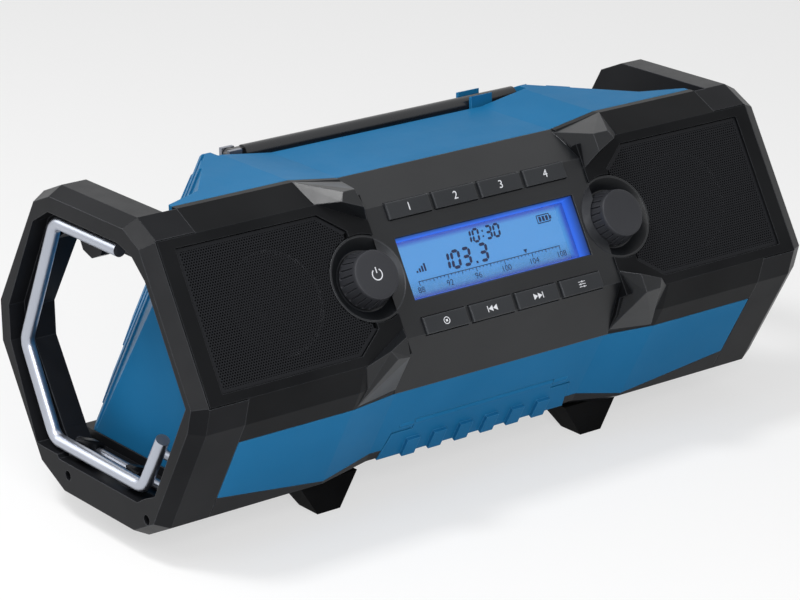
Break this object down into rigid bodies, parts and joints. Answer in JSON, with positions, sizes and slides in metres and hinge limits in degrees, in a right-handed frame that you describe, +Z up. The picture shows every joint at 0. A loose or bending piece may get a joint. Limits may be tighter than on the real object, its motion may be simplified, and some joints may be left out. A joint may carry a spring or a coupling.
{
  "type": "jobsite radio",
  "caption": "Six-sided jobsite radio: blue moulded body, black leaning front with grilles, knobs, keys and a screen, loop handles at both ends, a fold-out steel hook, rod aerial and battery.",
  "frame": {"origin": "on the ground plane under the middle of the overall box", "axes": "+X to the listener's right along the body, +Y to the back, +Z up"},
  "size_m": [0.39, 0.1896, 0.174],
  "materials": {
    "black_plastic": "moulded, fine-grained",
    "front_plastic": "moulded, fine-grained",
    "console_plastic": "moulded, satin",
    "blue_plastic": "moulded, satin",
    "grille_steel": "powder coated, perforated",
    "key_plastic": "moulded, satin",
    "knob_plastic": "moulded, satin",
    "screen_window": "clear, polished",
    "screen": "backlit liquid crystal",
    "steel": "bright zinc plated",
    "aerial_steel": "polished",
    "board": "solder-masked board",
    "cone_paper": "pressed paper",
    "magnet": "sintered",
    "basket_steel": "pressed and painted",
    "foot_rubber": "moulded",
    "battery_plastic": "moulded, grained",
    "switch_metal": "small switch bodies"
  },
  "bodies": {
    "radio": {"left_guard": "black_plastic", "right_guard": "black_plastic", "left_fascia": "front_plastic", "right_fascia": "front_plastic", "console_bezel": "console_plastic", "left_grille": "grille_steel", "right_grille": "grille_steel", "display_module": "screen", "display_window": "screen_window", "control_board": "board", "main_board": "board", "board_spacers": "switch_metal", "volume_encoder": "switch_metal", "tune_encoder": "switch_metal", "key_switches": "switch_metal", "rear_housing": "blue_plastic", "flap_pin": "steel", "belly_panel": "blue_plastic", "base_tray": "black_plastic", "feet": "foot_rubber", "port_panel": "black_plastic", "hook_saddles": "black_plastic", "saddle_pin": "steel", "hook_stop_pin": "steel", "hook_clip": "black_plastic", "guard_screws": "steel", "antenna_fork": "steel", "battery_terminals": "black_plastic", "left_speaker_basket": "basket_steel", "left_speaker_cone": "cone_paper", "left_speaker_magnet": "magnet", "right_speaker_basket": "basket_steel", "right_speaker_cone": "cone_paper", "right_speaker_magnet": "magnet"},
    "volume_knob": {"volume_knob": "knob_plastic"},
    "tune_knob": {"tune_knob": "knob_plastic"},
    "hook": {"hook_rod": "steel"},
    "aerial": {"antenna_rod": "aerial_steel"},
    "port_flap": {"port_flap": "blue_plastic"},
    "battery": {"battery_pack": "battery_plastic"},
    "battery_latch": {"battery_latch": "blue_plastic"},
    "preset_button_1": {"preset_button_1": "key_plastic"},
    "preset_button_2": {"preset_button_2": "key_plastic"},
    "preset_button_3": {"preset_button_3": "key_plastic"},
    "preset_button_4": {"preset_button_4": "key_plastic"},
    "pairing_button": {"pairing_button": "key_plastic"},
    "previous_button": {"previous_button": "key_plastic"},
    "next_button": {"next_button": "key_plastic"},
    "settings_button": {"settings_button": "key_plastic"}
  },
  "joints": [
    {"name": "volume_turn", "type": "hinge", "parent": "radio", "child": "volume_knob", "pos_m": [-0.0786, -0.06553, 0.1294], "axis": [0, -0.866, 0.5], "range_deg": [-150, 150]},
    {"name": "tune_turn", "type": "hinge", "parent": "radio", "child": "tune_knob", "pos_m": [0.0786, -0.06553, 0.1294], "axis": [0, -0.866, 0.5], "continuous": true},
    {"name": "preset_button_1_press", "type": "slide", "parent": "radio", "child": "preset_button_1", "axis": [0, 0.866, -0.5], "range_m": [0, 0.001], "stiffness_N_per_m": 400, "springref_m": -0.0003},
    {"name": "preset_button_2_press", "type": "slide", "parent": "radio", "child": "preset_button_2", "axis": [0, 0.866, -0.5], "range_m": [0, 0.001], "stiffness_N_per_m": 400, "springref_m": -0.0003},
    {"name": "preset_button_3_press", "type": "slide", "parent": "radio", "child": "preset_button_3", "axis": [0, 0.866, -0.5], "range_m": [0, 0.001], "stiffness_N_per_m": 400, "springref_m": -0.0003},
    {"name": "preset_button_4_press", "type": "slide", "parent": "radio", "child": "preset_button_4", "axis": [0, 0.866, -0.5], "range_m": [0, 0.001], "stiffness_N_per_m": 400, "springref_m": -0.0003},
    {"name": "pairing_button_press", "type": "slide", "parent": "radio", "child": "pairing_button", "axis": [0, 0.866, -0.5], "range_m": [0, 0.001], "stiffness_N_per_m": 400, "springref_m": -0.0003},
    {"name": "previous_button_press", "type": "slide", "parent": "radio", "child": "previous_button", "axis": [0, 0.866, -0.5], "range_m": [0, 0.001], "stiffness_N_per_m": 400, "springref_m": -0.0003},
    {"name": "next_button_press", "type": "slide", "parent": "radio", "child": "next_button", "axis": [0, 0.866, -0.5], "range_m": [0, 0.001], "stiffness_N_per_m": 400, "springref_m": -0.0003},
    {"name": "settings_button_press", "type": "slide", "parent": "radio", "child": "settings_button", "axis": [0, 0.866, -0.5], "range_m": [0, 0.001], "stiffness_N_per_m": 400, "springref_m": -0.0003},
    {"name": "hook_swing", "type": "hinge", "parent": "radio", "child": "hook", "pos_m": [-0.19, 0.00477, 0.0375], "axis": [0, -1, 0], "range_deg": [0, 90]},
    {"name": "aerial_raise", "type": "hinge", "parent": "radio", "child": "aerial", "pos_m": [-0.086, 0.04127, 0.1684], "axis": [0, -1, 0], "range_deg": [0, 90]},
    {"name": "flap_open", "type": "hinge", "parent": "radio", "child": "port_flap", "pos_m": [0, -0.05367, 0.04439], "axis": [-1, 0, 0], "range_deg": [0, 85]},
    {"name": "battery_slide", "type": "slide", "parent": "radio", "child": "battery", "axis": [1, 0, 0], "range_m": [0, 0.022]},
    {"name": "latch_press", "type": "slide", "parent": "battery", "child": "battery_latch", "axis": [0, -0.866, 0.5], "range_m": [0, 0.002], "stiffness_N_per_m": 500, "springref_m": -0.0003}
  ]
}
